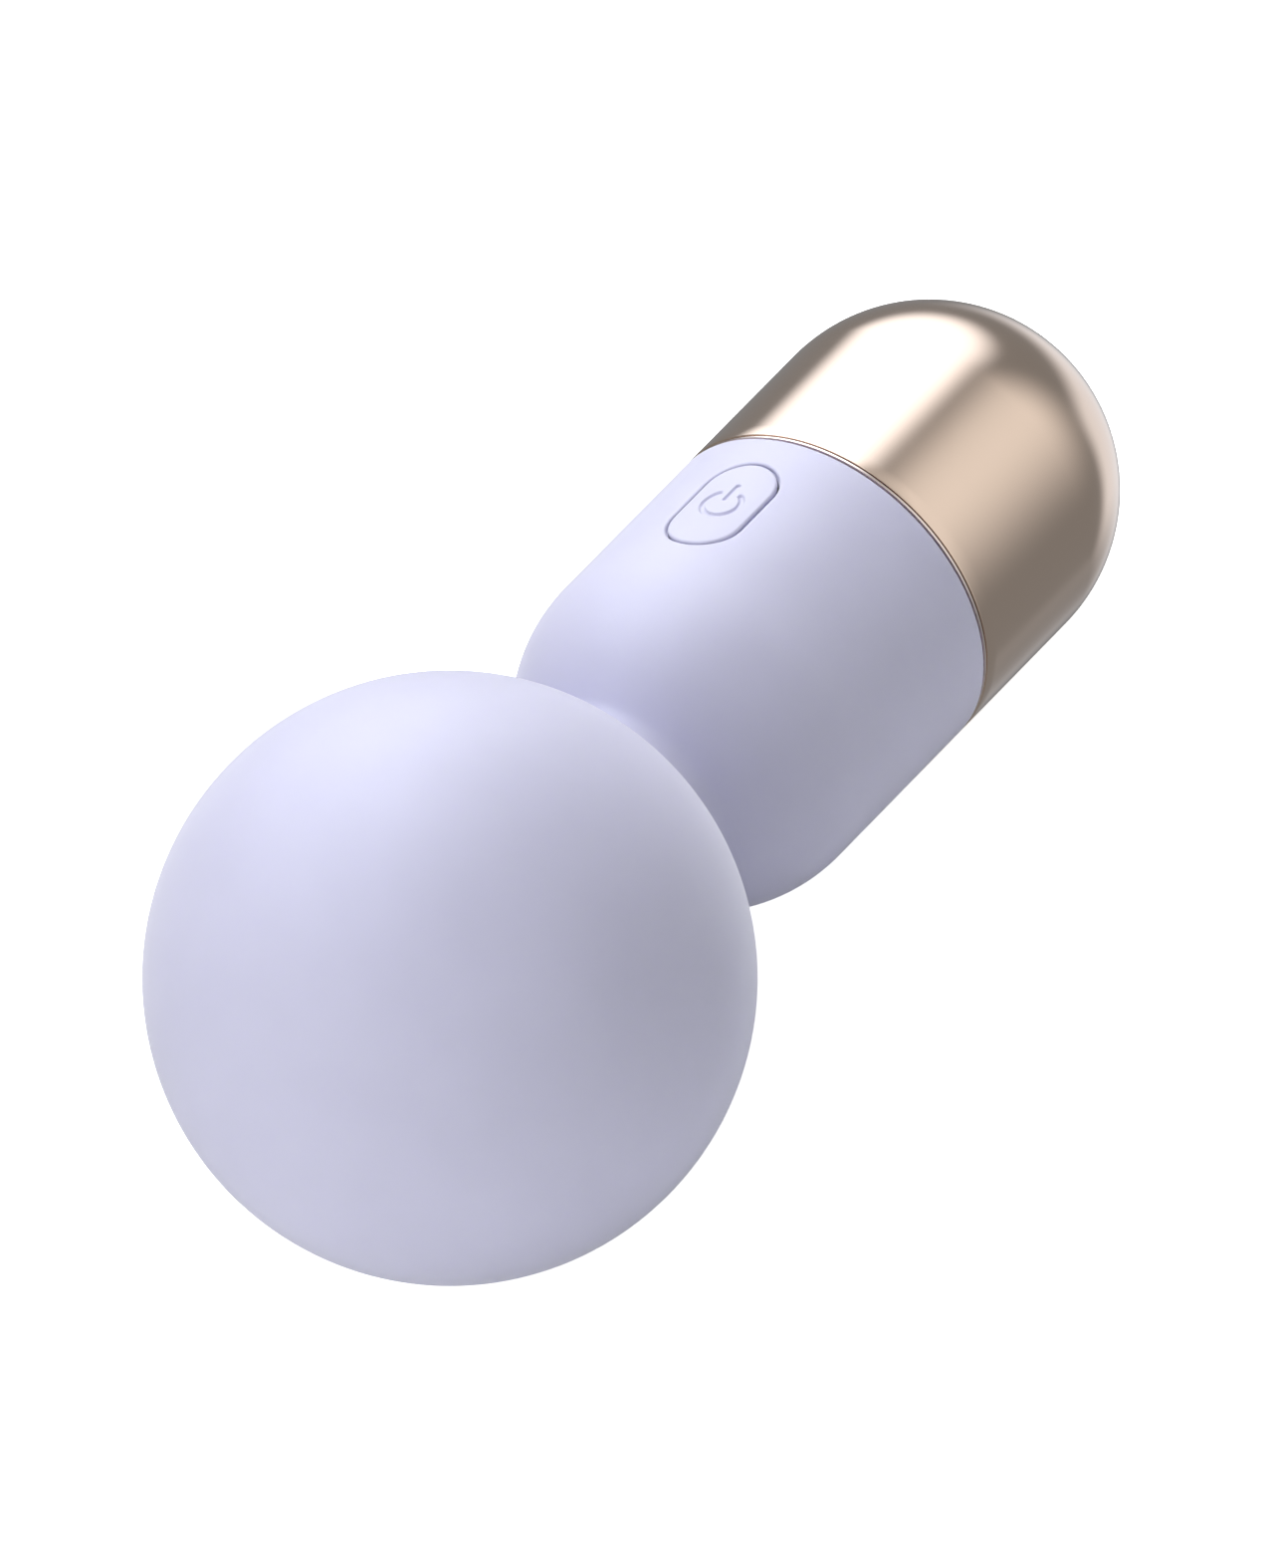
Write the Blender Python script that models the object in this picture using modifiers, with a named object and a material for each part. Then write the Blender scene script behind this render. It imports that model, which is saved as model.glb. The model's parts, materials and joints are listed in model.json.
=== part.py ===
"""Handheld wand massager: a ball head on a short capsule handle with a metal tail.

Pieces are modelled upright on the turning axis, tail tip at zero and ball on top, and
hang from one empty that lays the wand on a table, resting on its ball and its tail with
the button on top.  Lengths below are millimetres until MM turns them into metres.
"""

import math

import bmesh
import bpy
from mathutils import Matrix, Vector

MM = 0.001

# Driving dimensions
HANDLE_R = 17.0
BALL_R = 27.15
FILLET_R = 2.2          # concave neck between handle and ball
SEAM_Z = 34.15          # middle of the joint between metal tail and silicone
FRONT_Z = 54.26         # centre of the rounded front of the handle
BALL_Z = 95.26          # centre of the ball
BUTTON_Z = 44.5
BUTTON_LONG = 12.6
BUTTON_WIDE = 7.5
JACK_Z = 42.5
JACK_TURN = math.radians(-140.5)   # round the axis from the button

# Walls and gaps
CAP_WALL = 1.0
SKIN_HANDLE = 1.5
SKIN_BALL = 2.0
GAP = 0.3
CORE_WALL = 1.4
SEAM_RING = 0.4

# Worked out from them
CAP_IN_R = HANDLE_R - CAP_WALL
SKIN_IN_R = HANDLE_R - SKIN_HANDLE
SKIN_BALL_IN_R = BALL_R - SKIN_BALL
FRAME_R = SKIN_IN_R - GAP
FRAME_TAIL_R = CAP_IN_R - 0.4
FRAME_IN_R = FRAME_R - CORE_WALL
FRAME_TAIL_IN_R = FRAME_TAIL_R - CORE_WALL
HEAD_R = SKIN_BALL_IN_R - GAP
HEAD_IN_R = HEAD_R - 1.6
NECK_R = 8.4
NECK_IN_R = 6.8
NECK_HOLE_R = NECK_R + GAP
NECK_TOP = 78.4
TAIL_PLATE_R = 13.0
CAP_EDGE = SEAM_Z - SEAM_RING / 2 - 0.1
SKIN_EDGE = SEAM_Z + SEAM_RING / 2 + 0.1
FRAME_TAIL_Z = 11.4

# Seal behind the metal tail, and its groove in the frame
SEAL_R = 15.3
SEAL_WIRE_R = 0.45
GROOVE_R = 14.7
GROOVE_Z = (29.4, 31.4)

SIDES = 32
MID_SIDES = 24
SMALL_SIDES = 12

# Fastener: M1.6 pan head
SCREW_R = 0.8
SCREW_HOLE_R = SCREW_R + GAP
SCREW_HEAD_R = 1.5
SCREW_HEAD_H = 1.1
SCREW_SEAT_R = 1.8
FRAME_SCREW_X = 5.9
FRAME_SCREW_Z = (20.0, 56.0)
FRAME_SCREW_SEAT = 9.5
FRAME_SCREW_HOLE_Y = (-12.0, 8.5)
FRAME_BOSS_R = 2.3
FRAME_BOSS_REACH = 12.6
HEAD_SCREW_AT = 18.0
HEAD_SCREW_COUNT = 3

# Board and cell: heights over the axis on X, half width on Y, ends along the wand on Z
BOARD_X = (8.6, 9.6)
BOARD_Y = 8.6
BOARD_Z = (17.0, 58.0)
SOLDER = 0.1            # under each part on the board
SWITCH_SIDE = 4.6
SWITCH_H = 1.6
CELL_AT = (-3.7, 3.7)
CELL_R = 7.0
CELL_Z = (13.0, 56.0)
CELL_TIP_R = 2.5
CELL_TIP_H = 0.8
PAD_R = 4.2
LEAD_R = 0.5

# Button stack, as heights over the axis
PAD_THICK = 1.25
KEY_X = (12.4, 13.1)    # flange under the frame
STEM_X = (12.8, 15.3)   # stem through the frame
STEM_HALF = (1.9, 4.2)  # its half width and half length
PLUNGER_X = (10.9, 12.15)
PLUNGER_R = 1.2

# Charging socket: distances out from the axis
NOSE_R = 1.0
NOSE_BORE_R = 0.45
NOSE_END = 16.4
SOCKET_R = 2.2
SOCKET_T = (8.4, 13.2)
BORE_END = 10.0
TERMINAL_R = 1.4
TERMINAL_T = (6.9, 8.1)
PORT_R = NOSE_R + GAP

# Ball core
LIP_R = (21.4, 22.75)   # inside lip of the front shell
LIP_Z = 93.2
CLIP_R = 11.0
CLIP_Z = (75.3, 77.1)
CARRIER_R = (11.8, 13.2)
CARRIER_Z = (84.2, 104.0)
FLANGE_R = 20.8
FLANGE_Z = (92.4, 94.0)
HEAD_BOSS_R = 2.4
HEAD_BOSS_Z = (82.0, 92.2)
HEAD_SCREW_LONG = 8.5
FRAME_SCREW_LONG = 16.0

# Motor
SHAFT_R = 1.0
SHAFT_Z = (80.2, 116.2)
BUSH_R = 3.0
CAN_R = 10.0
CAN_WALL = 0.8
CAN_Z = (83.5, 105.5)
BELL_H = 2.0
BOOT_R = 11.5
BOOT_Z = (85.0, 103.5)
MAGNET_R = (7.9, 8.9)
MAGNET_Z = (87.0, 102.0)
ARMATURE_R = 7.4
ARMATURE_Z = (89.0, 101.0)
ARMATURE_POLES = 3
POLE_SLOT = 1.6
COMMUTATOR_R = 2.9
COMMUTATOR_Z = (84.2, 88.2)
BRUSH_REACH = (3.2, 6.0)
BRUSH_Z = (85.2, 86.8)
WEIGHT_R = 9.3
WEIGHT_Z = (107.3, 114.3)
WEIGHT_FLAT = 2.6       # how far past the shaft the weight reaches on its light side

# Remove what the scene holds
for old in list(bpy.data.objects):
    bpy.data.objects.remove(old)

parts = bpy.data.collections.new("wand_massager")
cutters = bpy.data.collections.new("wand_massager_cutters")
for group in (parts, cutters):
    bpy.context.scene.collection.children.link(group)


def lying_pose():
    """Turn and place of the wand when the ball and the tail both touch the table."""
    span = BALL_Z - HANDLE_R
    dip = math.asin((BALL_R - HANDLE_R) / span)
    length = BALL_R + span * math.cos(dip) + HANDLE_R
    tail_centre = Vector((length / 2 - HANDLE_R, 0.0, HANDLE_R))
    turn = Matrix.Rotation(dip - math.pi / 2, 4, "Y")
    place = tail_centre - turn.to_3x3() @ Vector((0.0, 0.0, HANDLE_R))
    return Matrix.Translation(place * MM) @ turn


wand = bpy.data.objects.new("wand_axis", None)
wand.matrix_world = lying_pose()
parts.objects.link(wand)


def material(name, colour, roughness, metallic=0.0):
    mat = bpy.data.materials.new(name)
    mat.use_nodes = True
    shader = mat.node_tree.nodes["Principled BSDF"]
    shader.inputs["Base Color"].default_value = (*colour, 1.0)
    shader.inputs["Roughness"].default_value = roughness
    shader.inputs["Metallic"].default_value = metallic
    mat.diffuse_color = (*colour, 1.0)
    return mat


lavender = material("lavender_silicone", (0.58, 0.58, 0.78), 0.55)
champagne = material("champagne_aluminium", (0.72, 0.56, 0.46), 0.15, 1.0)
bright_ring = material("bright_aluminium", (0.85, 0.80, 0.76), 0.1, 1.0)
white_abs = material("white_abs", (0.80, 0.80, 0.78), 0.5)
grey_abs = material("grey_abs", (0.30, 0.30, 0.32), 0.5)
black_nylon = material("black_nylon", (0.03, 0.03, 0.03), 0.6)
black_rubber = material("black_rubber", (0.02, 0.02, 0.02), 0.8)
foam = material("grey_foam", (0.12, 0.12, 0.13), 0.95)
steel = material("steel", (0.60, 0.60, 0.60), 0.3, 1.0)
brass = material("brass", (0.70, 0.52, 0.22), 0.3, 1.0)
copper = material("copper", (0.80, 0.40, 0.22), 0.3, 1.0)
magnet = material("ferrite", (0.05, 0.05, 0.055), 0.6)
tungsten = material("tungsten_alloy", (0.35, 0.35, 0.37), 0.35, 1.0)
board_green = material("board_green", (0.02, 0.18, 0.07), 0.4)
chip_black = material("chip_black", (0.02, 0.02, 0.022), 0.45)
led_lens = material("led_lens", (0.85, 0.85, 0.80), 0.2)
cell_wrap = material("cell_wrap", (0.05, 0.20, 0.45), 0.35)
red_lead = material("red_lead", (0.55, 0.02, 0.02), 0.4)
black_lead = material("black_lead", (0.02, 0.02, 0.02), 0.4)


def add(name, mesh, mat, smooth=True):
    """A named part under the wand's empty."""
    obj = bpy.data.objects.new(name, mesh)
    if not mesh.materials:
        mesh.materials.append(mat)
    if smooth:
        mesh.shade_smooth()
        mesh.set_sharp_from_angle(angle=math.radians(30))
    obj.parent = wand
    parts.objects.link(obj)
    return obj


def as_cutter(obj):
    """Moves an object to the cutters, where it is a tool and not a part."""
    parts.objects.unlink(obj)
    cutters.objects.link(obj)
    obj.hide_render = True
    obj.display_type = "WIRE"
    return obj


def boolean(target, tool, operation="DIFFERENCE"):
    mod = target.modifiers.new(f"{operation.lower()}_{tool.name}", "BOOLEAN")
    mod.operation = operation
    mod.solver = "EXACT"
    mod.object = tool


def arc(z, radius, start, end, count, r=0.0):
    """Points (r, z) on a circle, by the angle in degrees from the top."""
    points = []
    for i in range(count + 1):
        a = math.radians(start + (end - start) * i / count)
        points.append((r + radius * math.sin(a), z + radius * math.cos(a)))
    return points


def turned(name, profile, mat, sides=SIDES, closed=True, at=(0.0, 0.0)):
    """A profile of (r, z) points that runs down its outer side, turned round the axis.

    The first side is turned by half a step, so that a flat lies under the button.
    """
    mesh = bpy.data.meshes.new(name)
    points = [(max(r, 0.0) * MM, 0.0, z * MM) for r, z in profile]
    edges = [(i, i + 1) for i in range(len(points) - 1)]
    if closed:
        edges.append((len(points) - 1, 0))
    mesh.from_pydata(points, edges, [])
    obj = add(name, mesh, mat, smooth=False)
    obj.location = (at[0] * MM, at[1] * MM, 0.0)
    obj.rotation_euler.z = math.pi / sides
    mod = obj.modifiers.new("turn", "SCREW")
    mod.axis = "Z"
    mod.steps = sides
    mod.render_steps = sides
    mod.use_merge_vertices = True
    mod.merge_threshold = 0.00001
    mod.use_smooth_shade = True
    return obj


def ring(name, inner, outer, low, high, mat, sides=MID_SIDES, at=(0.0, 0.0)):
    """A plain washer or tube."""
    profile = [(inner, high), (outer, high), (outer, low), (inner, low)]
    return turned(name, profile, mat, sides, at=at)


def disc(name, radius, low, high, mat, sides=MID_SIDES, at=(0.0, 0.0)):
    profile = [(0.0, high), (radius, high), (radius, low), (0.0, low)]
    return turned(name, profile, mat, sides, closed=False, at=at)


def block(name, low, high, mat):
    """A box between two corners."""
    bm = bmesh.new()
    bmesh.ops.create_cube(bm, size=1.0)
    size = [h - b for b, h in zip(low, high)]
    middle = [(h + b) / 2 for b, h in zip(low, high)]
    bmesh.ops.scale(bm, vec=Vector(size) * MM, verts=bm.verts)
    bmesh.ops.translate(bm, vec=Vector(middle) * MM, verts=bm.verts)
    mesh = bpy.data.meshes.new(name)
    bm.to_mesh(mesh)
    bm.free()
    return add(name, mesh, mat, smooth=False)


def rod(name, start, direction, radius, length, mat, sides=SMALL_SIDES):
    """A cylinder from a point along a direction."""
    bm = bmesh.new()
    bmesh.ops.create_cone(
        bm, cap_ends=True, segments=sides, radius1=radius * MM, radius2=radius * MM, depth=length * MM
    )
    along = Vector(direction).normalized()
    turn = Vector((0, 0, 1)).rotation_difference(along).to_matrix().to_4x4()
    middle = (Vector(start) + along * length / 2) * MM
    bmesh.ops.transform(bm, matrix=Matrix.Translation(middle) @ turn, verts=bm.verts)
    mesh = bpy.data.meshes.new(name)
    bm.to_mesh(mesh)
    bm.free()
    return add(name, mesh, mat)


def slot_prism(name, low_x, high_x, z, long, wide, mat, corner=8):
    """A stadium outline, long side on the axis, pushed out along +X."""
    bm = bmesh.new()
    half = wide / 2
    run = long / 2 - half
    outline = []
    for end in (1, -1):
        for i in range(corner + 1):
            a = math.pi * i / corner
            outline.append((half * math.cos(a) * end, z + (run + half * math.sin(a)) * end))
    floor = [bm.verts.new((low_x * MM, y * MM, w * MM)) for y, w in outline]
    face = bm.faces.new(floor)
    pushed = bmesh.ops.extrude_face_region(bm, geom=[face])["geom"]
    moved = [v for v in pushed if isinstance(v, bmesh.types.BMVert)]
    bmesh.ops.translate(bm, vec=((high_x - low_x) * MM, 0.0, 0.0), verts=moved)
    bmesh.ops.recalc_face_normals(bm, faces=bm.faces)
    mesh = bpy.data.meshes.new(name)
    bm.to_mesh(mesh)
    bm.free()
    return add(name, mesh, mat, smooth=False)


def smooth_route(points, per_span=4):
    """A Catmull-Rom curve through the route's own points."""
    pts = [Vector(p) for p in points]
    pts = [2 * pts[0] - pts[1]] + pts + [2 * pts[-1] - pts[-2]]
    route = []
    for i in range(1, len(pts) - 2):
        a, b, c, d = pts[i - 1 : i + 3]
        for k in range(per_span):
            t = k / per_span
            square = 2 * a - 5 * b + 4 * c - d
            cube = 3 * b - 3 * c + d - a
            route.append(0.5 * (2 * b + (c - a) * t + square * t**2 + cube * t**3))
    return route + [pts[-2]]


def lead(name, points, mat, radius=LEAD_R):
    """An insulated wire along a route."""
    route = smooth_route(points)
    curve = bpy.data.curves.new(name, "CURVE")
    curve.dimensions = "3D"
    curve.bevel_depth = radius * MM
    curve.bevel_resolution = 2
    curve.use_fill_caps = True
    spline = curve.splines.new("POLY")
    spline.points.add(len(route) - 1)
    for point, place in zip(spline.points, route):
        point.co = (*(place * MM), 1.0)
    curve.materials.append(mat)
    obj = bpy.data.objects.new(name, curve)
    obj.parent = wand
    parts.objects.link(obj)
    return obj


def screw_mesh(length):
    """A pan-head screw with a cross recess, head upwards, its seat at zero."""
    profile = [(0.0, SCREW_HEAD_H), (SCREW_HEAD_R * 0.7, SCREW_HEAD_H), (SCREW_HEAD_R, SCREW_HEAD_H * 0.55)]
    profile += [(SCREW_HEAD_R, 0.0), (SCREW_R, 0.0), (SCREW_R, -length + 0.6)]
    profile += [(SCREW_R * 0.3, -length), (0.0, -length)]
    blank = turned("screw_blank", profile, steel, SMALL_SIDES, closed=False)
    blank.parent = None
    arms = []
    for turn, (x, y) in enumerate(((0.85, 0.2), (0.2, 0.85))):
        arm = block(f"recess_arm_{turn}", (-x, -y, SCREW_HEAD_H - 0.5), (x, y, SCREW_HEAD_H + 0.5), steel)
        arm.parent = None
        boolean(blank, arm)
        arms.append(arm)
    bpy.context.view_layer.update()
    depsgraph = bpy.context.evaluated_depsgraph_get()
    mesh = bpy.data.meshes.new_from_object(blank.evaluated_get(depsgraph))
    for tool in [blank, *arms]:
        bpy.data.objects.remove(tool)
    mesh.name = "screw"
    return mesh


def tail_cap():
    """The metal tail: a drawn cup with a round end."""
    profile = arc(HANDLE_R, CAP_IN_R, 180, 90, 8) + [(CAP_IN_R, CAP_EDGE), (HANDLE_R, CAP_EDGE)]
    profile += arc(HANDLE_R, HANDLE_R, 90, 180, 8)
    turned("dome_cap", profile, champagne, closed=False)


def neck_fillet():
    """Centre of the neck's concave arc, and the arc's two end angles in degrees."""
    a, b, span = HANDLE_R + FILLET_R, BALL_R + FILLET_R, BALL_Z - FRONT_Z
    up = (span**2 + a**2 - b**2) / (2 * span)
    out = math.sqrt(a**2 - up**2)
    to_front = math.degrees(math.atan2(out, up))
    to_ball = math.degrees(math.atan2(out, span - up))
    return out, FRONT_Z + up, to_front, to_ball


def skin():
    """The silicone sleeve, one moulding from the seam to the top of the ball."""
    out, mid, to_front, to_ball = neck_fillet()
    neck_in = math.degrees(math.asin(NECK_HOLE_R / SKIN_IN_R))
    ball_in = 180 - math.degrees(math.asin(NECK_HOLE_R / SKIN_BALL_IN_R))
    profile = arc(BALL_Z, BALL_R, 0, 180 - to_ball, 16)
    profile += arc(mid, FILLET_R, -to_ball, to_front - 180, 4, r=out)[1:-1]
    profile += arc(FRONT_Z, HANDLE_R, to_front, 90, 6) + [(HANDLE_R, SKIN_EDGE), (SKIN_IN_R, SKIN_EDGE)]
    profile += arc(FRONT_Z, SKIN_IN_R, 90, neck_in, 5) + arc(BALL_Z, SKIN_BALL_IN_R, ball_in, 0, 12)
    sleeve = turned("silicone_sleeve", profile, lavender, closed=False)
    window = as_cutter(
        slot_prism("button_window", 12, 20, BUTTON_Z, BUTTON_LONG + GAP, BUTTON_WIDE + GAP, lavender)
    )
    boolean(sleeve, window)
    port = as_cutter(rod("port_hole", jack_point(FRAME_IN_R), jack_point(1, 0), PORT_R, 8, lavender))
    boolean(sleeve, port)


def jack_point(t, z=JACK_Z):
    """A point that far out from the axis, in the charging socket's direction."""
    return (t * math.cos(JACK_TURN), t * math.sin(JACK_TURN), z)


def seam_rings():
    """The bright ring seen in the seam, and the seal behind the metal cap."""
    low, high = SEAM_Z - SEAM_RING / 2, SEAM_Z + SEAM_RING / 2
    ring("trim_ring", FRAME_TAIL_R + 0.2, HANDLE_R - 0.1, low, high, bright_ring, SIDES)
    profile = arc(sum(GROOVE_Z) / 2, SEAL_WIRE_R, 0, 360, 6, r=SEAL_R)[:-1]
    turned("cap_seal_ring", profile, black_rubber)


def frame_half(name, side):
    """One half of the inner frame, from the tail to the neck, split through the button."""
    tail_out = math.degrees(math.acos((FRAME_TAIL_Z - HANDLE_R) / FRAME_TAIL_R))
    tail_in = math.degrees(math.acos((FRAME_TAIL_Z - HANDLE_R) / FRAME_TAIL_IN_R))
    neck_out = math.degrees(math.asin(NECK_R / FRAME_R))
    neck_in = math.degrees(math.asin(NECK_IN_R / FRAME_IN_R))
    step = SEAM_Z + SEAM_RING / 2
    profile = [(NECK_R, NECK_TOP)] + arc(FRONT_Z, FRAME_R, neck_out, 90, 5)
    profile += [(FRAME_R, step), (FRAME_TAIL_R, step)]
    low, high = GROOVE_Z
    profile += [(FRAME_TAIL_R, high), (GROOVE_R, high), (GROOVE_R, low), (FRAME_TAIL_R, low)]
    profile += arc(HANDLE_R, FRAME_TAIL_R, 90, tail_out, 2)
    profile += arc(HANDLE_R, FRAME_TAIL_IN_R, tail_in, 90, 2)
    profile += [(FRAME_TAIL_IN_R, step), (FRAME_IN_R, step + 2)]
    profile += arc(FRONT_Z, FRAME_IN_R, 90, neck_in, 5) + [(NECK_IN_R, NECK_TOP)]
    half = turned(name, profile, white_abs)
    for i, z in enumerate(FRAME_SCREW_Z):
        start = (FRAME_SCREW_X, -FRAME_BOSS_REACH, z)
        boss = rod(f"{name}_boss_{i}", start, (0, 1, 0), FRAME_BOSS_R, 2 * FRAME_BOSS_REACH, white_abs)
        boolean(half, as_cutter(boss), "UNION")
    reach = HANDLE_R + 3
    low, high = (-0.05, reach) if side < 0 else (-reach, 0.05)
    foot, top = FRAME_TAIL_Z - 5, NECK_TOP + 5
    other = block(f"{name}_other_half", (-reach, low, foot), (reach, high, top), white_abs)
    boolean(half, as_cutter(other))
    for i, z in enumerate(FRAME_SCREW_Z):
        start, end = FRAME_SCREW_HOLE_Y
        place = (FRAME_SCREW_X, start, z)
        hole = rod(f"{name}_screw_hole_{i}", place, (0, 1, 0), SCREW_HOLE_R, end - start, white_abs)
        boolean(half, as_cutter(hole))
        if side < 0:
            place, deep = (FRAME_SCREW_X, -HANDLE_R, z), HANDLE_R - FRAME_SCREW_SEAT
            seat = rod(f"{name}_screw_seat_{i}", place, (0, 1, 0), SCREW_SEAT_R, deep, white_abs)
            boolean(half, as_cutter(seat))
    wide, long = (h + 0.4 for h in STEM_HALF)
    low, high = (FRAME_IN_R - 3, -wide, BUTTON_Z - long), (HANDLE_R, wide, BUTTON_Z + long)
    window = block(f"{name}_button_window", low, high, white_abs)
    boolean(half, as_cutter(window))
    if side < 0:
        start, outward = jack_point(FRAME_IN_R - 2), jack_point(1, 0)
        port = rod(f"{name}_port_hole", start, outward, PORT_R + 0.05, 8, white_abs)
        boolean(half, as_cutter(port))


def frame_screws():
    mesh = screw_mesh(FRAME_SCREW_LONG)
    for i, z in enumerate(FRAME_SCREW_Z):
        obj = add(f"chassis_screw_{i + 1}", mesh, steel, smooth=False)
        obj.location = Vector((FRAME_SCREW_X, -FRAME_SCREW_SEAT - 0.1, z)) * MM
        obj.rotation_euler.x = math.pi / 2


def cell_bay():
    """The cell, its two foam pads, and the plate that closes the frame's tail."""
    low, high = CELL_Z
    tip = high + CELL_TIP_H
    profile = [(0, tip), (CELL_TIP_R, tip), (CELL_TIP_R, high), (CELL_R, high), (CELL_R, low), (0, low)]
    turned("battery_cell", profile, cell_wrap, MID_SIDES, closed=False, at=CELL_AT)
    disc("battery_pad_front", PAD_R, tip + GAP, tip + GAP + 1.5, foam, at=CELL_AT)
    disc("battery_pad_rear", PAD_R, low - 1.5, low - 0.1, foam, at=CELL_AT)
    disc("tail_plate", TAIL_PLATE_R, FRAME_TAIL_Z - GAP - 1.6, FRAME_TAIL_Z - GAP, white_abs)


def board():
    """The circuit board and what is soldered to it."""
    under, top = BOARD_X
    block("circuit_board", (under, -BOARD_Y, BOARD_Z[0]), (top, BOARD_Y, BOARD_Z[1]), board_green)
    seat = top + SOLDER
    half = SWITCH_SIDE / 2
    corners = (seat, -half, BUTTON_Z - half), (seat + SWITCH_H, half, BUTTON_Z + half)
    switch = block("tact_switch", *corners, black_nylon)
    well = rod("switch_well", (seat + 0.5, 0, BUTTON_Z), (1, 0, 0), PLUNGER_R + GAP, 3, black_nylon)
    boolean(switch, as_cutter(well))
    for name, ((y, z), (wide, long), tall, mat) in {
        "controller_chip": ((0.0, 30.5), (5.0, 5.0), 0.9, chip_black),
        "charge_chip": ((4.7, 37.5), (3.0, 3.0), 0.9, chip_black),
        "status_led": ((0.0, 52.8), (1.6, 0.8), 0.6, led_lens),
    }.items():
        low = (seat, y - wide / 2, z - long / 2)
        block(name, low, (seat + tall, y + wide / 2, z + long / 2), mat)
    block("inductor", (under - 1.9, -2.0, 34), (under - SOLDER, 2.0, 38), chip_black)


def jack():
    """The charging socket: a moulded body whose nose stands in the sleeve's small hole."""
    back, shoulder = SOCKET_T
    profile = [(0.0, BORE_END), (NOSE_BORE_R, BORE_END), (NOSE_BORE_R, NOSE_END), (NOSE_R, NOSE_END)]
    profile += [(NOSE_R, shoulder), (SOCKET_R, shoulder), (SOCKET_R, back), (0.0, back)]
    socket = turned("charge_jack", profile, black_nylon, SMALL_SIDES, closed=False)
    terminal = disc("jack_terminal", TERMINAL_R, *TERMINAL_T, brass, SMALL_SIDES)
    outward = Vector((0, 0, 1)).rotation_difference(Vector(jack_point(1, 0)))
    for obj in (socket, terminal):
        obj.location = (0, 0, JACK_Z * MM)
        obj.rotation_mode = "QUATERNION"
        obj.rotation_quaternion = outward


def leads():
    """Wires from the cell, the socket and the motor to the board."""
    on_board = BOARD_X[1] + LEAD_R + 0.3
    front, rear = CELL_Z[1] + 0.9, CELL_Z[0] - 0.4
    forward = [(0.9, 0.6, front), (1.3, 0.5, 59.6), (4, 0.3, 61.3)]
    forward += [(7.5, 0, 61.2), (9.8, 0, 59.9), (on_board, 0, 57.2)]
    lead("battery_lead_red", forward, red_lead)
    back = [(0.9, 0.6, rear), (3.0, 0.3, 12.3), (6.5, 0, 12.7)]
    back += [(9.2, 0, 14.2), (on_board, 0, 16.4), (on_board, 0, 19.0)]
    lead("battery_lead_black", back, black_lead)
    for name, mat, side in (("red", red_lead, 1), ("black", black_lead, -1)):
        x, y, _ = jack_point(6.3)
        z = JACK_Z + 0.8 * side
        inward = [(x, y, z), (-2.0, -5.9, z), (2.5, -6.3, z), (5.8, -5.6, z), (8.0, -5.2, z)]
        lead(f"jack_lead_{name}", inward, mat)
        to_head = [(on_board, 2.4, 56.6), (on_board, 2.4, 58.8), (8.6, 2.1, 61.8), (5.6, 1.7, 65.3)]
        to_head += [(4.1, 1.5, 69), (4.0, 1.6, 74), (5.0, 2.0, 78), (5.6, 2.4, 80.8)]
        lead(f"motor_lead_{name}", [(px, py * side, pz) for px, py, pz in to_head], mat)


def head():
    """The hard ball under the skin, in two shells, and the clip that holds it to the neck."""
    bore_out = 180 - math.degrees(math.asin(NECK_HOLE_R / HEAD_R))
    bore_in = 180 - math.degrees(math.asin(NECK_HOLE_R / HEAD_IN_R))
    joint = 0.3  # degrees either side of the ball's middle
    profile = arc(BALL_Z, HEAD_R, 90 + joint, bore_out, 6) + arc(BALL_Z, HEAD_IN_R, bore_in, 90 + joint, 5)
    rear = turned("head_shell_rear", profile, white_abs)
    lip_in, lip_out = LIP_R
    start = math.degrees(math.asin(lip_in / HEAD_IN_R))
    edge = BALL_Z + HEAD_R * math.sin(math.radians(joint))
    front = arc(BALL_Z, HEAD_R, 0, 90 - joint, 7) + [(lip_out, edge), (lip_out, LIP_Z), (lip_in, LIP_Z)]
    front += arc(BALL_Z, HEAD_IN_R, start, 0, 4)
    turned("head_shell_front", front, white_abs, closed=False)
    ring("neck_clip_ring", NECK_HOLE_R, CLIP_R, *CLIP_Z, steel)

    (bore, tube), (low, high), (under, over) = CARRIER_R, CARRIER_Z, FLANGE_Z
    profile = [(bore, high), (tube, high), (tube, over), (FLANGE_R, over)]
    profile += [(FLANGE_R, under), (tube, under), (tube, low), (bore, low)]
    carrier = turned("motor_carrier", profile, grey_abs)
    mesh = screw_mesh(HEAD_SCREW_LONG)
    for i in range(HEAD_SCREW_COUNT):
        a = math.radians(90 + 360 * i / HEAD_SCREW_COUNT)
        x, y = HEAD_SCREW_AT * math.cos(a), HEAD_SCREW_AT * math.sin(a)
        foot, top = HEAD_BOSS_Z
        boss = as_cutter(rod(f"head_boss_{i}", (x, y, foot), (0, 0, 1), HEAD_BOSS_R, top - foot, white_abs))
        deep = HEAD_SCREW_LONG + 0.7
        hole = rod(f"head_screw_hole_{i}", (x, y, over - deep), (0, 0, 1), SCREW_HOLE_R, deep + 1, white_abs)
        as_cutter(hole)
        boolean(rear, boss, "UNION")
        boolean(rear, hole)
        boolean(carrier, hole)
        screw = add(f"carrier_screw_{i + 1}", mesh, steel, smooth=False)
        screw.location = Vector((x, y, over + 0.1)) * MM


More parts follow.
